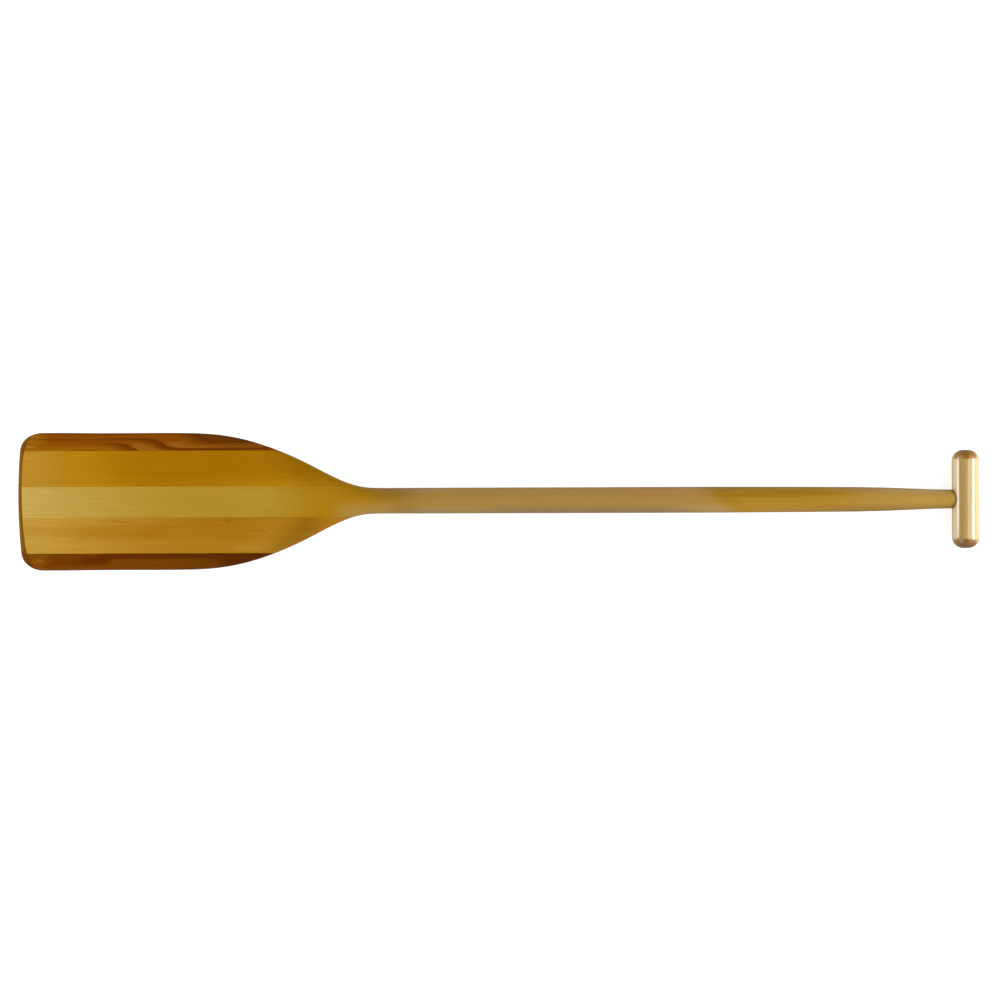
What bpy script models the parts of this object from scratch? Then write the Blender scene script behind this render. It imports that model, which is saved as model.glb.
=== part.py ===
"""Youth-length canoe paddle in laminated wood with a T-grip.

Seven glued pieces: one long stave that is both shaft and middle of the blade, two
inner and two outer blade strips, a cast resin guard round the tip, and a turned
T-grip with a blind socket for the end of the shaft.

Run it with blender --background --python part.py, or from the text editor.

The paddle lies face up. Its pieces are drawn from its own axis: s runs from the tip
to the grip, y across (right of someone looking from the grip to the tip is +y), and
z up. Both faces are alike, so a wood piece is its upper half and a mirror. In the
world, +X runs from tip to grip, and the origin is on the surface that the paddle
lies on, under the middle of its box.
"""

import math

import bmesh
import bpy
import numpy as np

MM = 0.001
INCH = 0.0254

# Overall
LENGTH = 42 * INCH
GLUE_GAP = 0.3 * MM  # left between glued faces

# T-grip, a dowel lying across the end of the shaft
GRIP_RADIUS = 15.25 * MM
GRIP_LENGTH = 109 * MM
GRIP_END_ROUND = 12.25 * MM
GRIP_AXIS = LENGTH - GRIP_RADIUS
SOCKET_DEPTH = 20.5 * MM
TENON_LENGTH = 19.5 * MM
TENON_CHAMFER = 1.0 * MM

# Plan of the blade's sides and the shaft: distance from the tip, half width, in mm
OFFSETS = (
    (30, 76.4),
    (45, 76.4),
    (80, 76.1),
    (130, 76.0),
    (180, 75.95),
    (215, 74.6),
    (250, 68.9),
    (285, 57.8),
    (320, 42.3),
    (348, 27.9),
    (368, 19.3),
    (385, 15.2),
    (402, 14.25),
    (430, 14.25),
    (520, 14.4),
    (650, 14.4),
    (780, 14.4),
    (900, 13.9),
    (950, 13.3),
    (990, 11.9),
    (1020, 10.8),
    (1052, 10.4),
)

# Plan of the tip: a shallow crown that turns into the sides at two round corners
BLADE_HALF_WIDTH = 76.4 * MM
CROWN_RADIUS = 620 * MM
CORNER_FROM = 56 * MM  # half width where the crown starts to turn
CORNER_LENGTH = 24 * MM  # how far along the paddle the turn takes
CORNER_FULLNESS = 2.2  # 2 is an ellipse, more is squarer
TIP_SKEW = 0.009  # the tip was trimmed about half a degree out of square
SKEW_FADES_BY = 60 * MM

# Thickness
BLADE_THICKNESS = 9.0 * MM  # over the flat middle of both faces
EDGE_THICKNESS = 5.0 * MM  # where the rounded edge starts
EDGE_ROUND = 3.5 * MM
FACE_SLOPE_WIDTH = 52 * MM  # from the edge in to the flat middle
THROAT_FROM = 235 * MM  # the blade starts to thicken towards the shaft
THROAT_TO = 398 * MM  # it is round from here on

# Lamination: glue lines along the paddle, measured across it
STRIPS_OFF_CENTRE = -0.7 * MM
CENTRE_STAVE_HALF = 17.3 * MM
INNER_STRIPS_TO = 56.9 * MM
FEATHER = 0.8 * MM  # a strip that runs out at the edge ends at this width

# Tip guard: distance along the edge from the middle of the tip, width of band, in mm
GUARD_RIGHT = ((0, 4.3), (38, 4.1), (52, 4.7), (62, 5.7), (70, 4.6), (76, 2.4), (82, 0))
GUARD_LEFT = ((0, 4.3), (25, 4.7), (45, 5.4), (55, 6.3), (64, 7.2), (72, 5.7), (79, 3.1), (86, 0))

# Fineness
SHAFT_SIDES = 28
STRIP_ROWS = 8
GUARD_ROWS = 4
GUARD_STEPS = 60
GRIP_STEPS = 44
GRIP_ARC_STEPS = 8


# ---------------------------------------------------------------- curves


def fair_curve(stations):
    """A batten sprung through the stations: a natural cubic spline, in metres."""
    x, y = (np.array(v, dtype=float) * MM for v in zip(*stations))
    h = np.diff(x)
    n = len(x)
    rows, pull = np.eye(n), np.zeros(n)
    for i in range(1, n - 1):
        rows[i, i - 1 : i + 2] = h[i - 1], 2 * (h[i - 1] + h[i]), h[i]
        pull[i] = 6 * ((y[i + 1] - y[i]) / h[i] - (y[i] - y[i - 1]) / h[i - 1])
    bend = np.linalg.solve(rows, pull)

    def curve(at):
        at = np.clip(np.asarray(at, dtype=float), x[0], x[-1])
        i = np.clip(np.searchsorted(x, at) - 1, 0, n - 2)
        a, b, w = x[i + 1] - at, at - x[i], h[i]
        return (
            (bend[i] * a**3 + bend[i + 1] * b**3) / (6 * w)
            + (y[i] / w - bend[i] * w / 6) * a
            + (y[i + 1] / w - bend[i + 1] * w / 6) * b
        )

    return curve


def smoothstep(t):
    t = np.clip(t, 0.0, 1.0)
    return t * t * (3 - 2 * t)


def tip_edge(y):
    """Distance from the tip of the tip's edge at y across."""
    y = np.abs(y)
    turn = np.clip((y - CORNER_FROM) / (BLADE_HALF_WIDTH - CORNER_FROM), 0, 1)
    corner = 1 - (1 - turn**CORNER_FULLNESS) ** (1 / CORNER_FULLNESS)
    return y * y / (2 * CROWN_RADIUS) + CORNER_LENGTH * corner


side_curve = fair_curve(OFFSETS)
TIP_Y = BLADE_HALF_WIDTH * np.sin(np.linspace(0, math.pi / 2, 240))
TIP_S = tip_edge(TIP_Y)


def half_width(s):
    return np.where(s < TIP_S[-1], np.interp(s, TIP_S, TIP_Y), side_curve(s))


# The right-hand edge of blade and throat, from the middle of the tip
EDGE_S = np.concatenate((TIP_S, np.arange(TIP_S[-1] + 2 * MM, THROAT_TO + 20 * MM, 2 * MM)))
EDGE_Y = np.concatenate((TIP_Y, side_curve(EDGE_S[len(TIP_S) :])))
EDGE_RUN = np.concatenate(((0,), np.cumsum(np.hypot(np.diff(EDGE_S), np.diff(EDGE_Y)))))


def edge_distance(s, y):
    """How far a point of the plan lies inside the nearest edge."""
    ds, dy = np.diff(EDGE_S), np.diff(EDGE_Y)
    ps = s[..., None] - EDGE_S[:-1]
    py = np.abs(y)[..., None] - EDGE_Y[:-1]
    along = np.clip((ps * ds + py * dy) / (ds * ds + dy * dy), 0, 1)
    return np.hypot(ps - along * ds, py - along * dy).min(axis=-1)


# ---------------------------------------------------------------- thickness


def spine(s):
    """Half height of the shaft's oval: a flat bar in the blade, round past the throat."""
    flat = BLADE_THICKNESS / 2
    start = THROAT_FROM + 15 * MM
    rise = smoothstep((s - start) / (THROAT_TO - start))
    return np.where(s < THROAT_TO, flat + (side_curve(THROAT_TO) - flat) * rise, side_curve(s))


def half_thickness(s, y):
    """Height of the upper face above the paddle's axis."""
    inside = edge_distance(s, y)
    rounding = 1 - np.minimum(inside, EDGE_ROUND) / EDGE_ROUND
    edge = EDGE_THICKNESS / 2 * np.sqrt(1 - rounding**2)
    slope = 1 - np.minimum(inside / FACE_SLOPE_WIDTH, 1)
    blade = edge + (BLADE_THICKNESS - EDGE_THICKNESS) / 2 * (1 - slope**2)
    across = y / np.maximum(half_width(s), MM)
    shaft = spine(s) * np.sqrt(np.clip(1 - across**2, 0, 1))
    into_shaft = smoothstep((s - THROAT_FROM) / (THROAT_TO - THROAT_FROM))
    return blade * (1 - into_shaft) + shaft * into_shaft


# ---------------------------------------------------------------- tip guard's line


def guard_line(side, steps, inset=0.0):
    """The joint between resin and wood on one side (1 right, -1 left), from the middle of
    the tip to where the resin runs out, moved inwards by inset, and the edge beside it."""
    stations = GUARD_RIGHT if side > 0 else GUARD_LEFT
    run = np.linspace(0, stations[-1][0] * MM, steps + 1)
    s, y = np.interp(run, EDGE_RUN, EDGE_S), np.interp(run, EDGE_RUN, EDGE_Y)
    ahead = np.interp(run + MM, EDGE_RUN, EDGE_S) - np.interp(run - MM, EDGE_RUN, EDGE_S)
    aside = np.interp(run + MM, EDGE_RUN, EDGE_Y) - np.interp(run - MM, EDGE_RUN, EDGE_Y)
    ahead[0], size = 0, np.hypot(ahead, aside)
    band = np.maximum(fair_curve(stations)(run), 0) + inset
    joint = s + band * aside / size, side * (y - band * ahead / size)
    return joint, (s, side * y)


def both_sides(right, left):
    """Joins two lines that start in the middle of the tip into one, from left to right."""
    return tuple(np.concatenate((b[:0:-1], a)) for a, b in zip(right, left))


WOOD_S, WOOD_Y = both_sides(
    guard_line(1, 200, GLUE_GAP / 2)[0], guard_line(-1, 200, GLUE_GAP / 2)[0]
)


def trimmed(s, y):
    """The slight skew of the tip, which fades out up the blade."""
    return s - TIP_SKEW * y * (1 - smoothstep(s / SKEW_FADES_BY))


# ---------------------------------------------------------------- wood and resin


def face_up_mesh(name, rows):
    """The upper half of a piece from rows of points (s, y) on its face, with walls down to
    the axis, where it is left open for a mirror."""
    bm = bmesh.new()
    grid = []
    for s, y, z in rows:
        points = np.column_stack((trimmed(s, y), y, np.where(z < 1e-7, 0, z)))
        grid.append([bm.verts.new(p) for p in points.tolist()])
    for a, b in zip(grid, grid[1:]):
        for k in range(len(a) - 1):
            bm.faces.new((a[k], a[k + 1], b[k + 1], b[k]))
    sides = [row[-1] for row in grid[1:-1]], [row[0] for row in grid[-2:0:-1]]
    rim = grid[0] + sides[0] + grid[-1][::-1] + sides[1]
    foot = {v: v if v.co.z == 0 else bm.verts.new((v.co.x, v.co.y, 0)) for v in rim}
    for a, b in zip(rim, rim[1:] + rim[:1]):
        wall = list(dict.fromkeys((a, b, foot[b], foot[a])))
        if len(wall) > 2:
            bm.faces.new(wall)
    bmesh.ops.recalc_face_normals(bm, faces=bm.faces)
    bm.faces.ensure_lookup_table()
    if bm.faces[0].normal.z < 0:
        bmesh.ops.reverse_faces(bm, faces=bm.faces)
    mesh = bpy.data.meshes.new(name)
    bm.to_mesh(mesh)
    bm.free()
    return mesh


def strip_rows(low, high, stations, count):
    """Rows across a strip between the glue lines low and high, or the paddle's edge where
    that comes first. Near the tip a row follows the joint with the resin, and it has
    eased to a square cut at SKEW_FADES_BY."""
    share = (1 - np.cos(np.linspace(0, math.pi, count + 1))) / 2
    at_tip = np.interp(share, (0, 1), (max(low, WOOD_Y[0]), min(high, WOOD_Y[-1])))
    for station in stations:
        ease = min(station / SKEW_FADES_BY, 1)
        cut = max(station, SKEW_FADES_BY)
        s = (1 - ease) * np.interp(at_tip, WOOD_Y, WOOD_S) + ease * cut
        edge = half_width(s[[0, -1]])
        y = np.interp(share, (0, 1), (max(low, -edge[0]), min(high, edge[1])))
        yield s, y, half_thickness(s, y)


def runs_out(glue_line):
    """Where a strip outside this glue line has narrowed to a feather."""
    s = np.arange(THROAT_FROM - 30 * MM, THROAT_TO, MM)
    return float(np.interp(-glue_line - FEATHER, -side_curve(s), s))


def stations_to(end):
    tip = np.array((0, 3, 9, 19, 36, 60, 90, 120, 150, 180, 205, 222)) * MM
    throat = np.arange(THROAT_FROM, THROAT_TO, 9 * MM)
    every = np.concatenate((tip, throat))
    return np.append(every[every < end - 2.5 * MM], end)


def strip_mesh(name, inner, outer):
    """A blade strip between two glue lines on one side of the paddle."""
    low, high = sorted((inner, outer))
    return face_up_mesh(name, strip_rows(low, high, stations_to(runs_out(abs(inner))), STRIP_ROWS))


def shaft_mesh(name, low, high):
    """The long stave: middle of the blade, shaft, and the tenon inside the grip."""
    along = (404, 414, 430, 470, 540, 640, 740, 800, 850, 890, 920, 945, 970, 990, 1006, 1022)
    enters = GRIP_AXIS - GRIP_RADIUS
    stations = np.concatenate((stations_to(THROAT_TO), np.array(along) * MM, (enters,)))
    rows = list(strip_rows(low, high, stations, SHAFT_SIDES // 2))
    turn = np.linspace(math.pi, 0, SHAFT_SIDES // 2 + 1)
    for back, less in ((TENON_CHAMFER, 0), (0, TENON_CHAMFER)):
        s = np.full_like(turn, enters + TENON_LENGTH - back)
        radius = side_curve(s) - less
        rows.append((s, radius * np.cos(turn), radius * np.sin(turn)))
    return face_up_mesh(name, rows)


def guard_mesh(name):
    """The cast band, row by row round the edge, each row from the edge in to the wood."""
    right = guard_line(1, GUARD_STEPS // 2, -GLUE_GAP / 2)
    left = guard_line(-1, GUARD_STEPS // 2, -GLUE_GAP / 2)
    joint_s, joint_y = both_sides(right[0], left[0])
    edge_s, edge_y = both_sides(right[1], left[1])
    share = 1 - np.cos(np.linspace(0, math.pi / 2, GUARD_ROWS + 1))
    rows = []
    for es, ey, js, jy in zip(edge_s, edge_y, joint_s, joint_y):
        if (js - es) ** 2 + (jy - ey) ** 2 < (FEATHER / 2) ** 2:
            continue
        s, y = es + share * (js - es), ey + share * (jy - ey)
        z = half_thickness(s, y)
        z[0] = 0
        rows.append((s, y, z))
    return face_up_mesh(name, rows)


# ---------------------------------------------------------------- scene


def paint(obj, colour, roughness, coat=0.0):
    material = bpy.data.materials.new(obj.name)
    material.use_nodes = True
    shader = material.node_tree.nodes["Principled BSDF"]
    shader.inputs["Base Color"].default_value = (*colour, 1)
    shader.inputs["Roughness"].default_value = roughness
    shader.inputs["Metallic"].default_value = 0
    shader.inputs["Coat Weight"].default_value = coat
    obj.data.materials.append(material)
    material.diffuse_color = (*colour, 1)


def add(name, mesh, parent, collection, at=(0, 0, 0), turned=(0, 0, 0)):
    obj = bpy.data.objects.new(name, mesh)
    collection.objects.link(obj)
    obj.parent = parent
    obj.location = at
    obj.rotation_euler = turned
    return obj


def mirrored(obj):
    """Adds the lower half."""
    mirror = obj.modifiers.new("Lower half", "MIRROR")
    mirror.use_axis = (False, False, True)
    mirror.use_mirror_merge = True
    mirror.merge_threshold = 1e-6
    obj.data.shade_smooth()
    obj.data.set_sharp_from_angle(angle=math.radians(40))
    return obj


def grip_profile():
    """Half outline of the dowel, down its outer side from one end to the other."""
    flat = GRIP_RADIUS - GRIP_END_ROUND
    centre = GRIP_LENGTH / 2 - GRIP_END_ROUND
    arc = [
        (flat + GRIP_END_ROUND * math.sin(a), centre + GRIP_END_ROUND * math.cos(a))
        for a in np.linspace(0, math.pi / 2, GRIP_ARC_STEPS + 1)
    ]
    upper = [(0, GRIP_LENGTH / 2), *arc]
    return upper + [(r, -z) for r, z in reversed(upper)]


def main():
    for obj in list(bpy.data.objects):
        bpy.data.objects.remove(obj, do_unlink=True)

    parts = bpy.data.collections.new("canoe_paddle")
    cutters = bpy.data.collections.new("cutters")
    for collection in (parts, cutters):
        bpy.context.scene.collection.children.link(collection)

    axis = bpy.data.objects.new("paddle_axis", None)
    axis.location = (-LENGTH / 2, 0, GRIP_RADIUS)
    parts.objects.link(axis)

    def glue(side, distance, gap_side):
        """A glued face: distance from the middle of the strips, less half a glue gap."""
        return side * distance + STRIPS_OFF_CENTRE + side * gap_side * GLUE_GAP / 2

    shaft = shaft_mesh("shaft", glue(-1, CENTRE_STAVE_HALF, -1), glue(1, CENTRE_STAVE_HALF, -1))
    shaft = mirrored(add("shaft", shaft, axis, parts))
    paint(shaft, (0.50, 0.31, 0.07), 0.32, coat=0.6)

    beyond = BLADE_HALF_WIDTH * 1.5  # outside the paddle, so the edge ends the strip
    for word, side in (("right", 1), ("left", -1)):
        name = f"inner_blade_strip_{word}"
        mesh = strip_mesh(name, glue(side, CENTRE_STAVE_HALF, 1), glue(side, INNER_STRIPS_TO, -1))
        strip = mirrored(add(name, mesh, axis, parts))
        paint(strip, (0.42, 0.19, 0.02), 0.32, coat=0.6)

        name = f"outer_blade_strip_{word}"
        mesh = strip_mesh(name, glue(side, INNER_STRIPS_TO, 1), side * beyond)
        strip = mirrored(add(name, mesh, axis, parts))
        brown = (0.25, 0.08, 0.01) if side > 0 else (0.17, 0.05, 0.006)
        paint(strip, brown, 0.32, coat=0.6)

    guard = mirrored(add("tip_guard", guard_mesh("tip_guard"), axis, parts))
    paint(guard, (0.21, 0.08, 0.01), 0.22, coat=0.8)

    profile = grip_profile()
    mesh = bpy.data.meshes.new("t_grip")
    mesh.from_pydata(
        [(r, 0, z) for r, z in profile], [(i, i + 1) for i in range(len(profile) - 1)], []
    )
    lying_across = (math.pi / 2, 0, 0)
    grip = add("t_grip", mesh, axis, parts, at=(GRIP_AXIS, 0, 0), turned=lying_across)
    paint(grip, (0.66, 0.47, 0.22), 0.25, coat=0.8)
    turn = grip.modifiers.new("Turn", "SCREW")
    turn.axis = "Z"
    turn.angle = 2 * math.pi
    turn.steps = turn.render_steps = GRIP_STEPS
    turn.use_merge_vertices = True
    turn.merge_threshold = 1e-6
    turn.use_smooth_shade = True

    bore_radius = float(side_curve(GRIP_AXIS - GRIP_RADIUS)) + GLUE_GAP
    bore_length = 2 * SOCKET_DEPTH
    bpy.ops.mesh.primitive_cylinder_add(
        vertices=SHAFT_SIDES, radius=bore_radius, depth=bore_length, end_fill_type="NGON"
    )
    bore = bpy.context.object
    bore.name = "socket_bore"
    for collection in list(bore.users_collection):
        collection.objects.unlink(bore)
    cutters.objects.link(bore)
    bore.parent = axis
    bore.location = (GRIP_AXIS - GRIP_RADIUS + SOCKET_DEPTH - bore_length / 2, 0, 0)
    bore.rotation_euler = (0, math.pi / 2, 0)
    bore.hide_render = True
    bore.display_type = "WIRE"
    cut = grip.modifiers.new("Socket", "BOOLEAN")
    cut.operation = "DIFFERENCE"
    cut.object = bore

    bpy.context.view_layer.update()


main()
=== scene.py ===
"""Looks of the laminated wooden canoe paddle: finer meshes of its seven pieces, varnished
wood and cast resin made from nodes, a pale floor, soft studio light and a camera above.

The paddle lies along X with its tip at the low end. As in the CAD, a piece is drawn from
the paddle's own axis: s runs from the tip to the grip, y across, z up.
"""

import math

import bmesh
import bpy
import numpy as np
from mathutils import Matrix, Vector


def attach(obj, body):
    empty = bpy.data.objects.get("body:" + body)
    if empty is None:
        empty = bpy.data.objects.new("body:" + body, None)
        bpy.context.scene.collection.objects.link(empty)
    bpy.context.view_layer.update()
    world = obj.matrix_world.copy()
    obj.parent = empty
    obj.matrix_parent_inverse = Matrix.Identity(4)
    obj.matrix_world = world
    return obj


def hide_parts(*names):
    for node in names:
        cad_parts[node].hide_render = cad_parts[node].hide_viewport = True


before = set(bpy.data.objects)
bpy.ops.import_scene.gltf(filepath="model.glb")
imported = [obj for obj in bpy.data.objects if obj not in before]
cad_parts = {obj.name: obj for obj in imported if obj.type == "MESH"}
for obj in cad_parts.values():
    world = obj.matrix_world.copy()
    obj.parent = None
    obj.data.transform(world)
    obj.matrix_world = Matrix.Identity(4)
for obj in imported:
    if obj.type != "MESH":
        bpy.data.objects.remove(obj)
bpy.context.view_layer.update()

MM = 0.001
INCH = 0.0254

# Overall, as in the CAD
LENGTH = 42 * INCH
GRIP_RADIUS = 15.25 * MM
GRIP_LENGTH = 109 * MM
GRIP_END_ROUND = 12.25 * MM
GRIP_AXIS = LENGTH - GRIP_RADIUS
SOCKET_DEPTH = 20.5 * MM
TENON_LENGTH = 19.5 * MM
TO_WORLD = Matrix.Translation((-LENGTH / 2, 0, GRIP_RADIUS))

# Plan of the blade's sides and the shaft: distance from the tip, half width, in mm
OFFSETS = (
    (30, 76.4),
    (45, 76.4),
    (80, 76.1),
    (130, 76.0),
    (180, 75.95),
    (215, 74.6),
    (250, 68.9),
    (285, 57.8),
    (320, 42.3),
    (348, 27.9),
    (368, 19.3),
    (385, 15.2),
    (402, 14.25),
    (430, 14.25),
    (520, 14.4),
    (650, 14.4),
    (780, 14.4),
    (900, 13.9),
    (950, 13.3),
    (990, 11.9),
    (1020, 10.8),
    (1052, 10.4),
)

# Plan of the tip
BLADE_HALF_WIDTH = 76.4 * MM
CROWN_RADIUS = 620 * MM
CORNER_FROM = 56 * MM
CORNER_LENGTH = 24 * MM
CORNER_FULLNESS = 2.2
TIP_SKEW = 0.009
SKEW_FADES_BY = 60 * MM

# Thickness
BLADE_THICKNESS = 9.0 * MM
EDGE_THICKNESS = 5.0 * MM
EDGE_ROUND = 3.5 * MM
FACE_SLOPE_WIDTH = 52 * MM
THROAT_FROM = 235 * MM
THROAT_TO = 398 * MM

# Lamination
STRIPS_OFF_CENTRE = -0.7 * MM
CENTRE_STAVE_HALF = 17.3 * MM
INNER_STRIPS_TO = 56.9 * MM
FEATHER = 0.06 * MM
GROOVE_DEPTH = 0.035 * MM  # the varnish sinks a little along a glue line
GROOVE_WIDTH = 0.3 * MM

# Tip guard: distance along the edge from the middle of the tip, width of band, in mm
GUARD_RIGHT = ((0, 4.3), (38, 4.1), (52, 4.7), (62, 5.7), (70, 4.6), (76, 2.4), (82, 0))
GUARD_LEFT = ((0, 4.3), (25, 4.7), (45, 5.4), (55, 6.3), (64, 7.2), (72, 5.7), (79, 3.1), (86, 0))

# Fineness
SHAFT_SIDES = 96
STRIP_COLUMNS = 44
GUARD_COLUMNS = 14
GUARD_STEPS = 300
GRIP_STEPS = 160


# ---------------------------------------------------------------- shape


def fair_curve(stations):
    """A natural cubic spline through stations in mm, in metres."""
    x, y = (np.array(v, dtype=float) * MM for v in zip(*stations))
    h = np.diff(x)
    n = len(x)
    rows, pull = np.eye(n), np.zeros(n)
    for i in range(1, n - 1):
        rows[i, i - 1 : i + 2] = h[i - 1], 2 * (h[i - 1] + h[i]), h[i]
        pull[i] = 6 * ((y[i + 1] - y[i]) / h[i] - (y[i] - y[i - 1]) / h[i - 1])
    bend = np.linalg.solve(rows, pull)

    def curve(at):
        at = np.clip(np.asarray(at, dtype=float), x[0], x[-1])
        i = np.clip(np.searchsorted(x, at) - 1, 0, n - 2)
        a, b, w = x[i + 1] - at, at - x[i], h[i]
        return (
            (bend[i] * a**3 + bend[i + 1] * b**3) / (6 * w)
            + (y[i] / w - bend[i] * w / 6) * a
            + (y[i + 1] / w - bend[i + 1] * w / 6) * b
        )

    return curve


def smoothstep(t):
    t = np.clip(t, 0.0, 1.0)
    return t * t * (3 - 2 * t)


def tip_edge(y):
    """Distance from the tip of the tip's edge at y across."""
    y = np.abs(y)
    turn = np.clip((y - CORNER_FROM) / (BLADE_HALF_WIDTH - CORNER_FROM), 0, 1)
    corner = 1 - (1 - turn**CORNER_FULLNESS) ** (1 / CORNER_FULLNESS)
    return y * y / (2 * CROWN_RADIUS) + CORNER_LENGTH * corner


side_spline = fair_curve(OFFSETS)


def side_curve(s):
    """Half width along the sides, without the spline's few microns of overshoot."""
    return np.minimum(side_spline(s), BLADE_HALF_WIDTH)


TIP_Y = BLADE_HALF_WIDTH * np.sin(np.linspace(0, math.pi / 2, 400))
TIP_S = tip_edge(TIP_Y)


def half_width(s):
    return np.where(s < TIP_S[-1], np.interp(s, TIP_S, TIP_Y), side_curve(s))


EDGE_S = np.concatenate((TIP_S, np.arange(TIP_S[-1] + 2 * MM, THROAT_TO + 20 * MM, 2 * MM)))
EDGE_Y = np.concatenate((TIP_Y, side_curve(EDGE_S[len(TIP_S) :])))
EDGE_RUN = np.concatenate(((0,), np.cumsum(np.hypot(np.diff(EDGE_S), np.diff(EDGE_Y)))))


def edge_distance(s, y):
    """How far a point of the plan lies inside the nearest edge."""
    ds, dy = np.diff(EDGE_S), np.diff(EDGE_Y)
    ps = s[..., None] - EDGE_S[:-1]
    py = np.abs(y)[..., None] - EDGE_Y[:-1]
    along = np.clip((ps * ds + py * dy) / (ds * ds + dy * dy), 0, 1)
    return np.hypot(ps - along * ds, py - along * dy).min(axis=-1)


def spine(s):
    """Half height of the shaft's oval."""
    flat = BLADE_THICKNESS / 2
    start = THROAT_FROM + 15 * MM
    rise = smoothstep((s - start) / (THROAT_TO - start))
    return np.where(s < THROAT_TO, flat + (side_curve(THROAT_TO) - flat) * rise, side_curve(s))


def hand_work(s, y):
    """The last tenth of a millimetre: where a belt and a sanding block took more off."""
    across = np.clip(y / np.maximum(half_width(s), MM), -1, 1)
    turn = np.arccos(across)
    long = np.sin(s / (31 * MM) + 1.3 * np.sin(s / (83 * MM))) * np.cos(2 * turn + s / (140 * MM))
    short = np.sin(s / (11.3 * MM) + 2.1 * np.cos(s / (47 * MM)) + 1.7 * turn)
    return 0.035 * MM * (1 + long) + 0.008 * MM * (1 + short)


def half_thickness(s, y):
    """Height of the upper face above the paddle's axis."""
    inside = edge_distance(s, y)
    rounding = 1 - np.minimum(inside, EDGE_ROUND) / EDGE_ROUND
    edge = EDGE_THICKNESS / 2 * np.sqrt(1 - rounding**2)
    slope = 1 - np.minimum(inside / FACE_SLOPE_WIDTH, 1)
    blade = edge + (BLADE_THICKNESS - EDGE_THICKNESS) / 2 * (1 - slope**2)
    across = y / np.maximum(half_width(s), MM)
    shaft = spine(s) * np.sqrt(np.clip(1 - across**2, 0, 1))
    into_shaft = smoothstep((s - THROAT_FROM) / (THROAT_TO - THROAT_FROM))
    z = blade * (1 - into_shaft) + shaft * into_shaft
    return np.maximum(z - hand_work(s, y) * smoothstep(z / (2 * MM)), 0)


def guard_line(side, steps):
    """The joint between resin and wood on one side, and the edge beside it."""
    stations = GUARD_RIGHT if side > 0 else GUARD_LEFT
    run = np.linspace(0, stations[-1][0] * MM, steps + 1)
    s, y = np.interp(run, EDGE_RUN, EDGE_S), np.interp(run, EDGE_RUN, EDGE_Y)
    ahead = np.interp(run + MM, EDGE_RUN, EDGE_S) - np.interp(run - MM, EDGE_RUN, EDGE_S)
    aside = np.interp(run + MM, EDGE_RUN, EDGE_Y) - np.interp(run - MM, EDGE_RUN, EDGE_Y)
    ahead[0], size = 0, np.hypot(ahead, aside)
    band = np.maximum(fair_curve(stations)(run), 0)
    joint = s + band * aside / size, side * (y - band * ahead / size)
    return joint, (s, side * y)


def both_sides(right, left):
    return tuple(np.concatenate((b[:0:-1], a)) for a, b in zip(right, left))


GUARD_ROUTES = guard_line(1, GUARD_STEPS // 2), guard_line(-1, GUARD_STEPS // 2)
WOOD_S, WOOD_Y = both_sides(GUARD_ROUTES[0][0], GUARD_ROUTES[1][0])


def trimmed(s, y):
    """The slight skew of the tip, which fades out up the blade."""
    return s - TIP_SKEW * y * (1 - smoothstep(s / SKEW_FADES_BY))


# ---------------------------------------------------------------- meshes


def face_up_mesh(name, rows):
    """The upper half of a piece from rows of points (s, y, z), with walls down to the axis."""
    bm = bmesh.new()
    grid = []
    for s, y, z in rows:
        points = np.column_stack((trimmed(s, y), y, np.where(z < 1e-7, 0, z)))
        grid.append([bm.verts.new(p) for p in points.tolist()])
    for a, b in zip(grid, grid[1:]):
        for k in range(len(a) - 1):
            bm.faces.new((a[k], a[k + 1], b[k + 1], b[k]))
    sides = [row[-1] for row in grid[1:-1]], [row[0] for row in grid[-2:0:-1]]
    rim = grid[0] + sides[0] + grid[-1][::-1] + sides[1]
    foot = {v: v if v.co.z == 0 else bm.verts.new((v.co.x, v.co.y, 0)) for v in rim}
    for a, b in zip(rim, rim[1:] + rim[:1]):
        wall = list(dict.fromkeys((a, b, foot[b], foot[a])))
        if len(wall) > 2:
            bm.faces.new(wall)
    bmesh.ops.recalc_face_normals(bm, faces=bm.faces)
    bm.faces.ensure_lookup_table()
    if bm.faces[0].normal.z < 0:
        bmesh.ops.reverse_faces(bm, faces=bm.faces)
    mesh = bpy.data.meshes.new(name)
    bm.to_mesh(mesh)
    bm.free()
    mesh.transform(TO_WORLD)
    return mesh


def groove(distance):
    return GROOVE_DEPTH * (1 - smoothstep(np.abs(distance) / GROOVE_WIDTH))


def strip_rows(low, high, stations, count):
    """Rows across a strip between two glue lines, or the paddle's edge."""
    share = (1 - np.cos(np.linspace(0, math.pi, count + 1))) / 2
    at_tip = np.interp(share, (0, 1), (max(low, WOOD_Y[0]), min(high, WOOD_Y[-1])))
    for station in stations:
        ease = min(station / SKEW_FADES_BY, 1)
        cut = max(station, SKEW_FADES_BY)
        s = (1 - ease) * np.interp(at_tip, WOOD_Y, WOOD_S) + ease * cut
        edge = half_width(s[[0, -1]])
        y = np.interp(share, (0, 1), (max(low, -edge[0]), min(high, edge[1])))
        z = half_thickness(s, y)
        z = z - (groove(y - low) + groove(y - high)) * (z > 0.1 * MM)
        yield s, y, z


def runs_out(glue_line):
    """Where a strip outside this glue line has narrowed to nothing."""
    s = np.arange(THROAT_FROM - 30 * MM, THROAT_TO, MM)
    return float(np.interp(-glue_line - FEATHER, -side_curve(s), s))


def stations_to(end):
    tip = SKEW_FADES_BY * np.linspace(0, 1, 40) ** 1.4
    blade = np.arange(SKEW_FADES_BY + 3 * MM, THROAT_FROM - 30 * MM, 3 * MM)
    throat = np.arange(THROAT_FROM - 30 * MM, THROAT_TO, 1.5 * MM)
    every = np.concatenate((tip, blade, throat))
    return np.append(every[every < end - 0.8 * MM], end)


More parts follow.
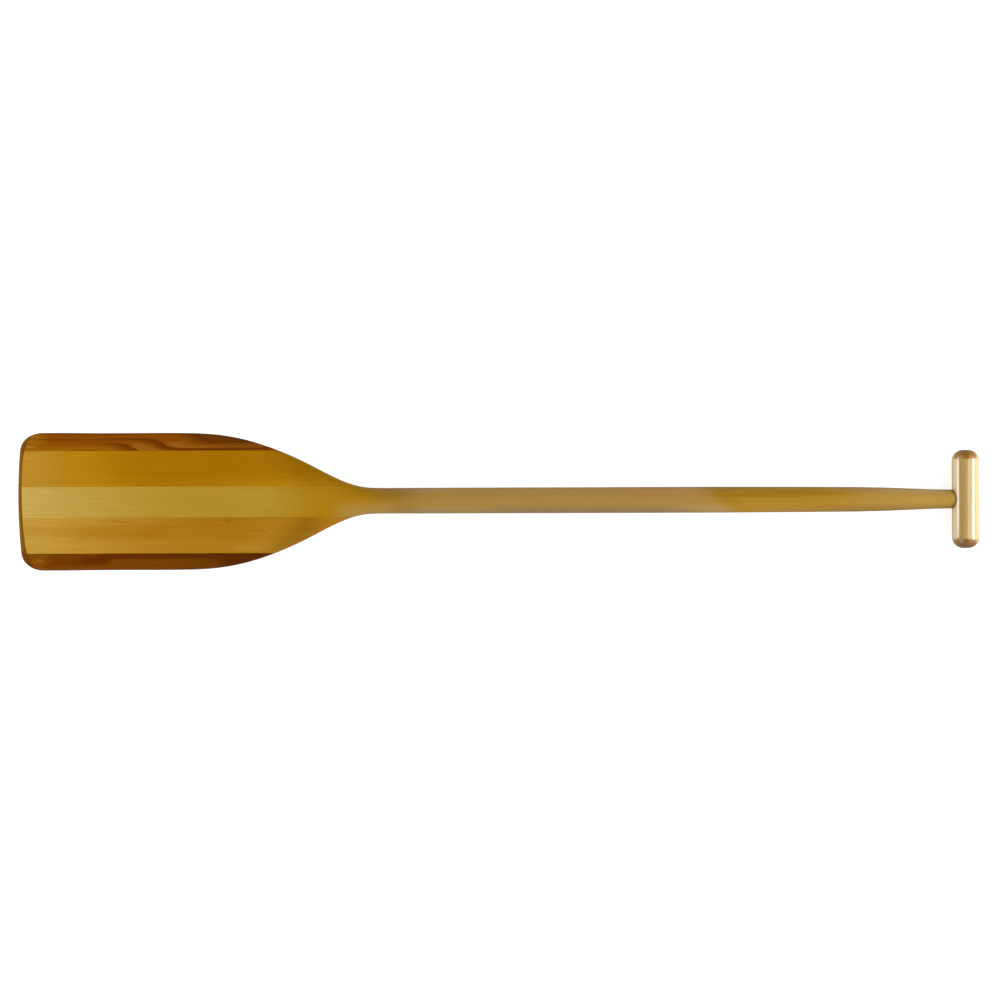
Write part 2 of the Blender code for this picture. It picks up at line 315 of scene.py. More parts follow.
def strip_mesh(name, inner, outer):
    low, high = sorted((inner, outer))
    stations = stations_to(runs_out(abs(inner)))
    return face_up_mesh(name, strip_rows(low, high, stations, STRIP_COLUMNS))


def shaft_mesh(name, low, high):
    """The long stave: middle of the blade, shaft, and the tenon inside the grip."""
    enters = GRIP_AXIS - GRIP_RADIUS
    along = np.arange(THROAT_TO + 2 * MM, enters + 5 * MM, 2.5 * MM)
    stations = np.concatenate((stations_to(THROAT_TO), along))
    rows = list(strip_rows(low, high, stations, SHAFT_SIDES // 2))
    turn = np.linspace(math.pi, 0, SHAFT_SIDES // 2 + 1)
    for back, less in ((MM, 0), (0, MM)):
        s = np.full_like(turn, enters + TENON_LENGTH - back)
        radius = side_curve(s) - less - 0.08 * MM
        rows.append((s, radius * np.cos(turn), radius * np.sin(turn)))
    return face_up_mesh(name, rows)


def guard_mesh(name):
    """The cast band, row by row round the edge, each row from the edge in to the wood."""
    joint_s, joint_y = WOOD_S, WOOD_Y
    edge_s, edge_y = both_sides(GUARD_ROUTES[0][1], GUARD_ROUTES[1][1])
    share = 1 - np.cos(np.linspace(0, math.pi / 2, GUARD_COLUMNS + 1))
    rows = []
    for es, ey, js, jy in zip(edge_s, edge_y, joint_s, joint_y):
        band = math.hypot(js - es, jy - ey)
        if band < FEATHER:
            continue
        s, y = es + share * (js - es), ey + share * (jy - ey)
        z = half_thickness(s, y)
        z = z - groove(band * (1 - share)) * (z > 0.1 * MM)
        z[0] = 0
        rows.append((s, y, z))
    return face_up_mesh(name, rows)


def grip_mesh(name, bore_radius):
    """A dowel turned about its own axis (along Y) with rounded ends and the shaft's socket."""
    flat = GRIP_RADIUS - GRIP_END_ROUND
    centre = GRIP_LENGTH / 2 - GRIP_END_ROUND
    ends = [
        (flat + GRIP_END_ROUND * math.sin(a), centre + GRIP_END_ROUND * math.cos(a))
        for a in np.linspace(0, math.pi / 2, 26)
    ]
    middle = [(GRIP_RADIUS, y) for y in np.linspace(centre, -centre, 80)[1:-1]]
    outline = ends + middle + [(r, -y) for r, y in reversed(ends)]
    bm = bmesh.new()
    rings = []
    for r, y in outline:
        ring = []
        for k in range(GRIP_STEPS):
            a = 2 * math.pi * k / GRIP_STEPS
            lathe = 0.012 * MM * (1 + math.sin(y / (4.1 * MM) + 0.8 * math.sin(y / (13 * MM))))
            sanded = 0.02 * MM * (1 + math.sin(3 * a + y / (29 * MM)))
            rr = r - (lathe + sanded) * smoothstep((r - flat) / (3 * MM))
            ring.append(bm.verts.new((GRIP_AXIS + rr * math.cos(a), y, rr * math.sin(a))))
        rings.append(ring)
    for a, b in zip(rings, rings[1:]):
        for k in range(GRIP_STEPS):
            n = (k + 1) % GRIP_STEPS
            bm.faces.new((a[k], a[n], b[n], b[k]))
    for ring in (rings[0], rings[-1]):
        middle = bm.verts.new((GRIP_AXIS, ring[0].co.y, 0))
        for k in range(GRIP_STEPS):
            bm.faces.new((ring[k], ring[(k + 1) % GRIP_STEPS], middle))
    bmesh.ops.recalc_face_normals(bm, faces=bm.faces)
    mesh = bpy.data.meshes.new(name)
    bm.to_mesh(mesh)
    bm.free()

    # the socket, a straight bore; its mouth is not eased
    cutter = bmesh.new()
    sides, mouth = 96, 0.0
    outline = (
        (GRIP_AXIS - GRIP_RADIUS - 4 * MM, bore_radius),
        (GRIP_AXIS - GRIP_RADIUS + SOCKET_DEPTH, bore_radius),
    )
    rings = []
    for s, r in outline:
        rings.append(
            [
                cutter.verts.new(
                    (s, r * math.cos(2 * math.pi * k / sides), r * math.sin(2 * math.pi * k / sides))
                )
                for k in range(sides)
            ]
        )
    for k in range(sides):
        n = (k + 1) % sides
        cutter.faces.new((rings[0][k], rings[0][n], rings[1][n], rings[1][k]))
    cutter.faces.new(rings[0])
    cutter.faces.new(rings[1])
    bmesh.ops.recalc_face_normals(cutter, faces=cutter.faces)
    cutter_mesh = bpy.data.meshes.new("socket")
    cutter.to_mesh(cutter_mesh)
    cutter.free()

    solid = bpy.data.objects.new("dowel", mesh)
    tool = bpy.data.objects.new("socket", cutter_mesh)
    for obj in (solid, tool):
        bpy.context.scene.collection.objects.link(obj)
    cut = solid.modifiers.new("Socket", "BOOLEAN")
    cut.operation = "DIFFERENCE"
    cut.solver = "EXACT"
    cut.object = tool
    bpy.context.view_layer.update()
    made = bpy.data.meshes.new_from_object(
        solid.evaluated_get(bpy.context.evaluated_depsgraph_get())
    )
    made.name = name
    for obj in (solid, tool):
        bpy.data.objects.remove(obj)
    made.transform(TO_WORLD)
    # the cut leaves a few slivers without any area at the socket's mouth
    bm = bmesh.new()
    bm.from_mesh(made)
    bmesh.ops.dissolve_degenerate(bm, dist=2e-6, edges=bm.edges)
    bm.to_mesh(made)
    bm.free()
    return made


def piece(name, mesh, node, mirror=True, sharp=40):
    """Puts a mesh in the scene in place of its CAD node."""
    obj = bpy.data.objects.new(name, mesh)
    bpy.context.scene.collection.objects.link(obj)
    if mirror:
        # both faces are alike, so the lower half is the upper one's reflection
        bm = bmesh.new()
        bm.from_mesh(mesh)
        level = GRIP_RADIUS
        bmesh.ops.mirror(
            bm,
            geom=bm.verts[:] + bm.edges[:] + bm.faces[:],
            matrix=Matrix.Translation((0, 0, -level)),
            merge_dist=1e-6,
            axis="Z",
        )
        bmesh.ops.recalc_face_normals(bm, faces=bm.faces)
        bm.to_mesh(mesh)
        bm.free()
    mesh.shade_smooth()
    mesh.set_sharp_from_angle(angle=math.radians(sharp))
    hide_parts(node)
    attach(obj, "root")
    return obj


def glue(side, distance):
    return side * distance + STRIPS_OFF_CENTRE


# ---------------------------------------------------------------- pieces


shaft = piece(
    "shaft_and_centre_stave",
    shaft_mesh("shaft_and_centre_stave", glue(-1, CENTRE_STAVE_HALF), glue(1, CENTRE_STAVE_HALF)),
    "shaft",
)
strips = {}
for word, side in (("right", 1), ("left", -1)):
    name = f"inner_strip_{word}"
    mesh = strip_mesh(name, glue(side, CENTRE_STAVE_HALF), glue(side, INNER_STRIPS_TO))
    strips[name] = piece(name, mesh, f"inner_blade_strip_{word}")
    name = f"outer_strip_{word}"
    mesh = strip_mesh(name, glue(side, INNER_STRIPS_TO), side * BLADE_HALF_WIDTH * 1.5)
    strips[name] = piece(name, mesh, f"outer_blade_strip_{word}")
guard = piece("resin_tip", guard_mesh("resin_tip"), "tip_guard")
grip = piece(
    "grip_dowel",
    grip_mesh("grip_dowel", float(side_curve(GRIP_AXIS - GRIP_RADIUS)) + 0.12 * MM),
    "t_grip",
    mirror=False,
    sharp=50,
)

# ---------------------------------------------------------------- node trees


class Wire:
    """An output of a node, with arithmetic that adds Math nodes."""

    def __init__(self, tree, socket):
        self.tree, self.socket = tree, socket

    def __add__(self, other):
        return self.tree.math("ADD", self, other)

    __radd__ = __add__

    def __sub__(self, other):
        return self.tree.math("SUBTRACT", self, other)

    def __rsub__(self, other):
        return self.tree.math("SUBTRACT", other, self)

    def __mul__(self, other):
        return self.tree.math("MULTIPLY", self, other)

    __rmul__ = __mul__

    def __truediv__(self, other):
        return self.tree.math("DIVIDE", self, other)

    def __rtruediv__(self, other):
        return self.tree.math("DIVIDE", other, self)

    def __pow__(self, other):
        return self.tree.math("POWER", self, other)

    def __neg__(self):
        return self.tree.math("MULTIPLY", self, -1.0)

    def __abs__(self):
        return self.tree.math("ABSOLUTE", self)


class Tree:
    """A node tree under construction."""

    def __init__(self, owner):
        owner.use_nodes = True
        self.nodes = owner.node_tree.nodes
        self.links = owner.node_tree.links
        self.places = 0

    def split(self, socket):
        node = self.node("ShaderNodeSeparateXYZ")
        self.links.new(socket, node.inputs[0])
        return tuple(Wire(self, node.outputs[k]) for k in range(3))

    def node(self, kind, **settings):
        node = self.nodes.new(kind)
        node.location = (-1800 + 190 * (self.places // 12), 700 - 160 * (self.places % 12))
        self.places += 1
        for key, value in settings.items():
            setattr(node, key, value)
        return node

    def put(self, socket, value):
        if isinstance(value, Wire):
            self.links.new(value.socket, socket)
        elif isinstance(value, tuple) and len(value) == 3 and socket.type == "RGBA":
            socket.default_value = (*value, 1)
        else:
            socket.default_value = value

    def math(self, operation, *values, clamp=False):
        node = self.node("ShaderNodeMath", operation=operation, use_clamp=clamp)
        for socket, value in zip(node.inputs, values):
            self.put(socket, value)
        return Wire(self, node.outputs[0])

    def sin(self, v):
        return self.math("SINE", v)

    def least(self, a, b):
        return self.math("MINIMUM", a, b)

    def most(self, a, b):
        return self.math("MAXIMUM", a, b)

    def soft_least(self, a, b, width):
        return self.math("SMOOTH_MIN", a, b, width)

    def root(self, v):
        return self.math("SQRT", v)

    def part(self, v):
        return self.math("FRACT", v)

    def clamped(self, v):
        return self.math("ADD", v, 0.0, clamp=True)

    def span(self, v, low, high, start=0.0, end=1.0, kind="SMOOTHSTEP"):
        """v mapped from low..high to start..end and held there outside."""
        node = self.node("ShaderNodeMapRange", interpolation_type=kind, clamp=True)
        for socket, value in zip(node.inputs, (v, low, high, start, end)):
            self.put(socket, value)
        return Wire(self, node.outputs[0])


class Finish(Tree):
    """A material under construction. s, y and z are in mm from the tip and the axis."""

    def __init__(self, name):
        self.material = bpy.data.materials.new(name)
        super().__init__(self.material)
        self.shader = self.nodes["Principled BSDF"]
        place = self.node("ShaderNodeTexCoord")
        x, y, z = self.split(place.outputs["Object"])
        self.s = (x + LENGTH / 2) * 1000
        self.y = y * 1000
        self.z = (z - GRIP_RADIUS) * 1000
        self.normal = self.split(place.outputs["Normal"])

    def vector(self, x, y, z):
        node = self.node("ShaderNodeCombineXYZ")
        for socket, value in zip(node.inputs, (x, y, z)):
            self.put(socket, value)
        return Wire(self, node.outputs[0])

    def noise(self, along, across, depth=None, detail=2.0, roughness=0.5, seed=0.0, distortion=0.0):
        """Noise whose grains are along x across x depth mm."""
        depth = depth or across
        node = self.node("ShaderNodeTexNoise", noise_dimensions="3D", normalize=True)
        place = self.vector(
            self.s / along + (seed * 7.31 + 0.5), self.y / across + seed * 3.17, self.z / depth + seed
        )
        self.put(node.inputs["Vector"], place)
        self.put(node.inputs["Scale"], 1.0)
        self.put(node.inputs["Detail"], detail)
        self.put(node.inputs["Roughness"], roughness)
        self.put(node.inputs["Distortion"], distortion)
        return Wire(self, node.outputs[0])

    def cells(self, along, across, depth=None, seed=0.0, randomness=1.0):
        """Distance to the middle of the nearest of scattered spots, along x across mm apart."""
        depth = depth or across
        node = self.node("ShaderNodeTexVoronoi", voronoi_dimensions="3D", feature="F1")
        place = self.vector(
            self.s / along + (seed * 5.13 + 0.5), self.y / across + seed * 2.71, self.z / depth + seed
        )
        self.put(node.inputs["Vector"], place)
        self.put(node.inputs["Scale"], 1.0)
        self.put(node.inputs["Randomness"], randomness)
        return Wire(self, node.outputs["Distance"])

    def mix(self, share, a, b, kind="MIX"):
        node = self.node("ShaderNodeMix", data_type="RGBA", blend_type=kind, clamp_factor=True)
        factor = node.inputs[0]
        colours = [i for i in node.inputs if i.type == "RGBA"]
        self.put(factor, share)
        self.put(colours[0], a)
        self.put(colours[1], b)
        return Wire(self, next(o for o in node.outputs if o.type == "RGBA"))

    def scaled(self, colour, by):
        """A colour times a number that may be over 1."""
        node = self.node("ShaderNodeVectorMath", operation="SCALE")
        self.put(node.inputs[0], colour)
        self.put(node.inputs["Scale"], by)
        return Wire(self, node.outputs[0])

    def bump(self, height, depth_mm, below=None):
        node = self.node("ShaderNodeBump")
        self.put(node.inputs["Height"], height)
        self.put(node.inputs["Distance"], depth_mm * MM)
        self.put(node.inputs["Strength"], 1.0)
        if below:
            self.put(node.inputs["Normal"], below)
        return Wire(self, node.outputs[0])

    def rings(self, y, z, spacing, late=0.82, early=0.0):
        """Growth rings about a pith at y=0, z=0: 0 in pale early wood, 1 in the dark late
        wood that ends each ring, with a soft rise and a sharper end."""
        turn = self.part(self.root(y * y + z * z) / spacing)
        rise = self.span(turn, early, late)
        fall = self.span(turn, 0.93, 1.0)
        return rise * (1 - fall)

    def finish(self, colour, roughness, normal, coat, coat_roughness=0.08, specular=0.03, ior=1.4):
        """The varnish is the coat; the wood wetted by it hardly reflects on its own."""
        self.put(self.shader.inputs["Base Color"], colour)
        self.put(self.shader.inputs["Roughness"], roughness)
        self.put(self.shader.inputs["Specular IOR Level"], specular)
        self.put(self.shader.inputs["Normal"], normal)
        self.put(self.shader.inputs["Coat Weight"], coat)
        self.put(self.shader.inputs["Coat Roughness"], coat_roughness)
        self.put(self.shader.inputs["Coat IOR"], ior)
        return self.material


# ---------------------------------------------------------------- wood, resin, varnish

GLUE_LINES = tuple(
    1000 * (side * distance + STRIPS_OFF_CENTRE)
    for side in (-1, 1)
    for distance in (CENTRE_STAVE_HALF, INNER_STRIPS_TO)
)
SEAT = 1000 * GRIP_AXIS


def mark(f, s, y, length, width, tilt=0.0, ragged=0.35, seed=0.0):
    """1 inside a small long mark in the wood at s, y (mm), 0 outside, with a ragged rim."""
    along = (f.s - s) / (length / 2)
    across = (f.y - y - (f.s - s) * tilt) / (width / 2)
    away = along * along + across * across + (f.noise(2.2, 0.5, seed=seed) - 0.5) * ragged * 4
    return f.span(away, 0.35, 1.1, 1.0, 0.0)


def fibres(f, seed=0.0, turned=False):
    """Three sizes of line along the grain, each about 0 on average."""
    sizes = ((150, 3.2, 2.0), (70, 0.9, 3.0), (26, 0.28, 2.0))
    made = []
    for k, (long, wide, detail) in enumerate(sizes):
        along, across = (wide, long) if turned else (long, wide)
        made.append(f.noise(along, across, wide, detail=detail, seed=seed + k) - 0.5)
    return made


def pores(f, share=0.5, seed=0.0, turned=False, long=5.0, wide=0.34):
    """Open vessels cut lengthways: short dark dashes, 1 in a pore and 0 beside it."""
    along, across = (wide, long) if turned else (long, wide)
    spots = f.cells(along, across, wide, seed=seed)
    crowd = f.noise(*((2.0, 60) if turned else (60, 2.0)), seed=seed + 3)
    return f.span(spots, 0.05, 0.3, 1.0, 0.0) * f.span(crowd, 1 - share, 1.15 - share)


def glue_film(f):
    """1 on a glue line and its squeezed-out edge, 0 elsewhere."""
    near = f.least(abs(f.y - GLUE_LINES[0]), abs(f.y - GLUE_LINES[1]))
    near = f.least(near, f.least(abs(f.y - GLUE_LINES[2]), abs(f.y - GLUE_LINES[3])))
    return f.span(near, 0.08, 0.28, 1.0, 0.0)


def varnish_relief(f, lines, holes, seed=0.0, flow_depth=0.035):
    """Grain that telegraphs through the varnish, and the varnish's own slow flow."""
    flow = f.noise(9, 5, seed=seed + 11, detail=2)
    dust = f.cells(6.5, 6.5, seed=seed + 13)
    nibs = f.span(dust, 0.0, 0.07, 1.0, 0.0)
    grain = lines[1] * 0.5 + lines[2] * 0.6 - holes * 0.8
    below = f.bump(flow, flow_depth)
    below = f.bump(nibs, 0.02, below)
    return f.bump(grain, 0.011, below)


def pale_wood():
    """Centre stave and shaft: straight-grained, straw to honey."""
    f = Finish("pale_wood")
    lines = fibres(f, seed=1)
    slow = f.noise(260, 16, 16, detail=2, seed=5) - 0.5
    wander = (f.noise(190, 26, 26, detail=2, seed=2) - 0.5) * 26
    rings = f.rings(f.y + 46 + wander + f.s * 0.012, f.z + 30 + wander, 5.3)
    straw = f.span(f.s, 150, 215, 0.95, 0.76) + f.span(f.s, 215, 255, 0.0, 0.16) - f.span(f.s, 262, 335, 0.0, 0.84)
    straw = straw + f.span(f.s, 380, 470, 0.0, 0.24) + f.span(f.s, 890, 1015, 0.0, 0.55)
    straw = f.clamped(straw + slow * 0.34 + lines[0] * 0.22)
    colour = f.mix(straw, (0.395, 0.196, 0.0035), (0.452, 0.273, 0.029))
    # the stave is creamier towards the tip
    cream = f.span(f.s + f.y * 0.2, 8, 155, 0.66, 0.0, kind="LINEAR")
    colour = f.mix(cream + slow * 0.1, colour, (0.565, 0.405, 0.112))
    # on the shaft, hands have dulled the varnish as far as a slanting line: it is rougher there, and a greyish
    # painted sheen is mixed into its colour
    slant = f.s + f.y * 1.1
    dulled_with_sheen = f.span(f.s, 375, 470) * f.span(slant, 755, 797, 1.0, 0.0)
    colour = f.mix(dulled_with_sheen * (0.92 + slow * 0.5), colour, (0.388, 0.226, 0.058))
    golden = f.span(slant, 765, 800)
    # painted reflection: the shaft is paler towards the grip
    sheen_by_grip = f.span(f.s, 870, 985)
    colour = f.mix(golden * 0.62, colour, (0.372, 0.198, 0.022))
    colour = f.mix(sheen_by_grip * 0.55, colour, (0.415, 0.262, 0.076))
    # painted shade: the lower rim is darker just before the grip
    lower_rim_shade = f.span(-f.y, 5, 12) * f.span(slant, 790, 830) * f.span(f.s, 925, 975, 1.0, 0.0)
    colour = f.mix(lower_rim_shade * 0.5, colour, (0.325, 0.185, 0.042))
    # painted sheen on that patch: its upper side paler, its lower side greyer
    colour = f.mix(dulled_with_sheen * f.span(f.y, 4, 11) * 0.9, colour, (0.462, 0.265, 0.086))
    colour = f.mix(dulled_with_sheen * f.span(f.y, -4, -11) * 0.9, colour, (0.388, 0.252, 0.094))
    # painted light: the upper rim is paler towards the grip
    edge = f.span(f.y, 4, 10) * f.span(f.s, 900, 1000, 0.0, 0.75)
    colour = f.mix(edge, colour, (0.50, 0.335, 0.130))
    # painted shade and light along the sides: the lower side darker from about 480 mm and near the grip but lighter
    # about 800 mm, the upper side darker just past the throat; the stave is also darker along the slanting line and
    # about 420 mm from the tip
    along = f.span(f.s, 690, 800, 1.0, -1.25) + f.span(f.s, 830, 965, 0.0, 2.15, kind="LINEAR")
    lower = f.span(f.y, -2, -12) * f.span(f.s, 480, 560) * along
    upper = f.span(f.y, -1, 9) * f.span(f.s, 345, 380) * f.span(f.s, 425, 450, 1.0, 0.0)
    darker_bands = f.span(abs(slant - 786), 3, 22, 0.10, 0.0) + f.span(abs(f.s - 420), 0, 45, 0.13, 0.0)
    colour = f.scaled(colour, 1 - lower * 0.18 - upper * 0.11 - darker_bands)
    # painted light: the lower side is paler where the throat meets the shaft
    lit_lower_side = f.span(f.y, 3, -12) * f.span(f.s, 340, 375) * f.span(f.s, 405, 430, 1.0, 0.0)
    colour = f.mix(lit_lower_side * 0.5, colour, (0.46, 0.30, 0.095))
    # a darker streak runs along the shaft beyond it
    streak = mark(f, 848, 5.6, 168, 6.6, tilt=0.012, ragged=0.3, seed=16)
    colour = f.mix(streak * 0.62, colour, (0.325, 0.155, 0.006))
    colour = f.mix(f.clamped(rings * 0.11 + lines[1] * 0.22), colour, (0.33, 0.158, 0.010))
    # pale ray flecks in patches, across the grain, and a ladder of them by one glue line
    ticks = f.span(f.noise(0.9, 3.6, 3.6, detail=1, seed=8), 0.60, 0.72)
    patches = f.span(f.noise(34, 7, 7, detail=1, seed=9), 0.54, 0.66)
    rungs = f.span(f.sin(f.s * 1.45 + f.noise(9, 3, seed=10) * 7), 0.35, 0.95)
    ladder = mark(f, 216, 12.6, 62, 5.0, ragged=0.5, seed=11)
    colour = f.mix(ticks * patches * 0.22 + rungs * ladder * 0.22, colour, (0.62, 0.42, 0.11))
    # pin specks
    specks = f.span(f.cells(17, 4.4, seed=14), 0.03, 0.085, 1.0, 0.0)
    colour = f.mix(specks * 0.42, colour, (0.16, 0.07, 0.010))
    holes = pores(f, share=0.42, seed=4)
    colour = f.scaled(colour, 0.99 + lines[0] * 0.10 + lines[1] * 0.11 + lines[2] * 0.13 - holes * 0.09)
    colour = f.mix(glue_film(f) * f.span(f.s, 330, 345, 0.34, 0.0), colour, (0.14, 0.055, 0.008))
    # glue and varnish gather where the shaft enters the grip, and painted shade darkens the seam there
    seat = f.root((f.s - SEAT) * (f.s - SEAT) + f.z * f.z) - 1000 * GRIP_RADIUS
    glue_and_seam_shade = f.span(seat, 0.15, 2.6, 1.0, 0.0)
    colour = f.mix(glue_and_seam_shade * 0.7, colour, (0.13, 0.055, 0.010))
    roughness = 0.40 + lines[1] * 0.16 + holes * 0.12 + dulled_with_sheen * 0.06 - glue_and_seam_shade * 0.1
    return f.finish(colour, roughness, varnish_relief(f, lines, holes, 1), coat=0.55)


def honey_wood(name, side):
    """Inner blade strips: red alder or poplar under amber varnish, nearly plain."""
    f = Finish(name)
    seed = 20 if side > 0 else 40
    lines = fibres(f, seed=seed)
    slow = f.noise(150, 11, 11, detail=2, seed=seed + 5) - 0.5
    wander = (f.noise(130, 20, 20, detail=2, seed=seed + 2) - 0.5) * 30
    if side > 0:
        rings = f.rings(f.y - 96 + wander + f.s * 0.02, f.z - 24 + wander, 7.0)
        deep, light, late = (0.350, 0.144, 0.0004), (0.440, 0.213, 0.0055), (0.31, 0.116, 0.0008)
        pale = f.span(f.s, 60, 140, 0.90, 0.10)
        pale = pale + f.span(f.y, 15, 31, 0.30, 0.0) * f.span(f.s, 40, 120)
        pale = pale + f.span(f.y, 16, 34, 0.40, 0.0) * f.span(f.s, 165, 245)
        pale = pale + f.span(f.y, 42, 58, 0.0, 0.10) + f.span(f.s, 225, 300, 0.0, 0.20)
        cream = f.span(f.s, 12, 70, 0.24, 0.0)
        # painted shade where the blade slopes into the throat, past a slanting line
        rim = f.span(f.s + f.y * 0.9, 300, 350, 0.0, 0.16)
    else:
        rings = f.rings(f.y + 88 + wander - f.s * 0.03, f.z + 40 + wander, 7.4)
        deep, light, late = (0.370, 0.157, 0.0024), (0.500, 0.284, 0.034), (0.31, 0.114, 0.002)
        pale = f.span(f.s, 0, 150, 0.58, 0.06) + mark(f, 256, -52, 46, 8, ragged=0.5, seed=56) * 0.22
        pale = pale + f.span(f.y, -33, -47, 0.0, 0.56) * f.span(f.s, 20, 230, 1.0, 0.35)
        pale = pale + f.span(f.y, -36, -20, 0.0, 0.50) * f.span(f.s, 100, 220, 1.0, 0.0)
        pale = pale + f.span(f.s, 235, 290, 0.0, 0.16)
        cream = f.span(f.s, 15, 80, 0.22, 0.0)
        # painted shade where the blade slopes into the throat, past a slanting line
        rim = f.span(f.s - f.y * 0.9, 310, 345, 0.0, 0.26) * f.span(f.s, 316, 350, 1.0, 0.0)
    pale = f.clamped(pale + slow * 0.42 + lines[0] * 0.2)
    colour = f.mix(pale, deep, light)
    colour = f.mix(cream, colour, (0.50, 0.31, 0.075))
    colour = f.mix(f.clamped(rings * 0.13 + lines[1] * 0.24), colour, late)
    ticks = f.span(f.noise(1.0, 3.0, 3.0, detail=1, seed=seed + 8), 0.62, 0.74)
    patches = f.span(f.noise(40, 9, 9, detail=1, seed=seed + 9), 0.55, 0.66)
    colour = f.mix(ticks * patches * 0.14, colour, light)
    if side < 0:
        streak = mark(f, 233, -22.2, 10, 1.5, tilt=-0.03, seed=51)
        colour = f.mix(streak * 0.62, colour, (0.13, 0.052, 0.006))
        arcs = mark(f, 112, -22.5, 44, 2.6, tilt=-0.07, seed=52) + mark(f, 158, -27.5, 46, 2.4, tilt=-0.05, seed=53)
        colour = f.mix(f.clamped(arcs) * 0.38, colour, late)
        feather = mark(f, 277, -31.5, 12, 3.2, tilt=-0.35, seed=54) + mark(f, 262, -36, 15, 1.6, tilt=-0.2, seed=55)
        colour = f.mix(f.clamped(feather) * 0.35, colour, light)
    specks = f.span(f.cells(26, 6.5, seed=seed + 14), 0.03, 0.07, 1.0, 0.0)
    colour = f.mix(specks * 0.35, colour, (0.12, 0.045, 0.004))
    holes = pores(f, share=0.40, seed=seed + 4, long=4.0, wide=0.3)
    # the colour darkens by the painted throat shade and varies with the grain lines
    relief = 1 - rim + lines[0] * 0.12 + lines[1] * 0.11 + lines[2] * 0.13
    colour = f.scaled(colour, relief - holes * 0.10)
    colour = f.mix(glue_film(f) * 0.36, colour, (0.13, 0.048, 0.004))
    roughness = 0.40 + lines[1] * 0.16 + holes * 0.12
    return f.finish(colour, roughness, varnish_relief(f, lines, holes, seed), coat=0.55)


def red_brown_wood():
    """Outer strip on the right: flat-sawn, its rings in long slopes that sink to the glue line."""
    f = Finish("red_brown_wood")
    lines = fibres(f, seed=60)
    wander = f.noise(85, 9, 9, detail=3, seed=62) - 0.5
    rows = f.y - 56.2 + (f.z - 3.6) * 0.5 + wander * 1.5
    level = rows + f.span(f.s - rows * 6 + wander * 9, 46, 174, 0.0, 11.1)
    level = level - f.most(level - 14.1, 0) * 0.3
    turn = f.part((level - 8.8) / 5.3 + 4)
    # each ring darkens slowly and ends at a crisp line
    late = f.span(turn, f.span(f.s, 100, 150, 0.10, 0.34), 0.90) * f.span(turn, 0.91, 1.0, 1.0, 0.0)
    buried = f.span(level, 8.6, 10.5, 1.0, 0.0) * f.span(f.s, 84, 112, 1.0, 0.0)
    strength = f.span(f.s, 66, 140, 0.42, 0.90) * (1 - buried * 0.9) - f.span(f.s, 190, 250, 0.0, 0.16)
    slow = f.noise(90, 5, 5, detail=2, seed=65) - 0.5
    amber, red, tan = (0.302, 0.108, 0.0020), (0.238, 0.062, 0.0008), (0.292, 0.106, 0.0100)
    foot = f.span(rows, 1.5, 8.5, 1.0, 0.0) * f.span(f.s, 150, 172, 1.0, 0.0)
    base = f.mix(f.clamped(foot + slow * 0.9 + lines[0] * 0.5), red, amber)
    flame = f.span(turn, 0.02, 0.10) * f.span(turn, 0.16, 0.56, 1.0, 0.0) * f.span(f.s, 118, 140)
    flame = flame * f.span(level, 8.8, 9.2) * f.span(level, 18.0, 19.2, 1.0, 0.0)
    flame = flame * f.span(f.s, 190, 250, 1.0, 0.55) * f.span(rows, 8.0, 10.8, 1.0, 0.0)
    base = f.mix(f.clamped(flame * 0.9 + slow * 0.3), base, tan)
    base = f.mix(f.span(level, 17.6, 19.2) * f.span(f.s, 165, 200), base, (0.150, 0.042, 0.0020))
    corner = f.span(f.s, 14, 38) * -1 + 1
    base = f.mix(corner * f.span(rows, 4, 10, 0.12, 0.78), base, (0.335, 0.135, 0.0040))
    # a few pale fibres by the tip, and the dark foot of the strip there
    base = f.mix(mark(f, 12, 61, 20, 2.6, ragged=0.6, seed=66) * 0.6, base, (0.40, 0.185, 0.030))
    colour = f.mix(f.clamped(late * strength + lines[0] * 0.12), base, (0.118, 0.027, 0.0005))
    foot_line = mark(f, 75, 56.9, 42, 1.5, ragged=0.4, seed=68)
    colour = f.mix(foot_line * 0.4, colour, (0.15, 0.045, 0.0008))
    colour = f.scaled(colour, f.span(f.s, 188, 250, 1.0, 0.85))
    holes = pores(f, share=0.54, seed=64, long=4.5, wide=0.36)
    colour = f.scaled(colour, 1 + lines[1] * 0.26 + lines[2] * 0.22 - holes * 0.18)
    colour = f.mix(glue_film(f) * 0.40, colour, (0.07, 0.020, 0.001))
    roughness = 0.42 + lines[1] * 0.2 + holes * 0.14
    return f.finish(colour, roughness, varnish_relief(f, lines, holes, 61), coat=0.55)


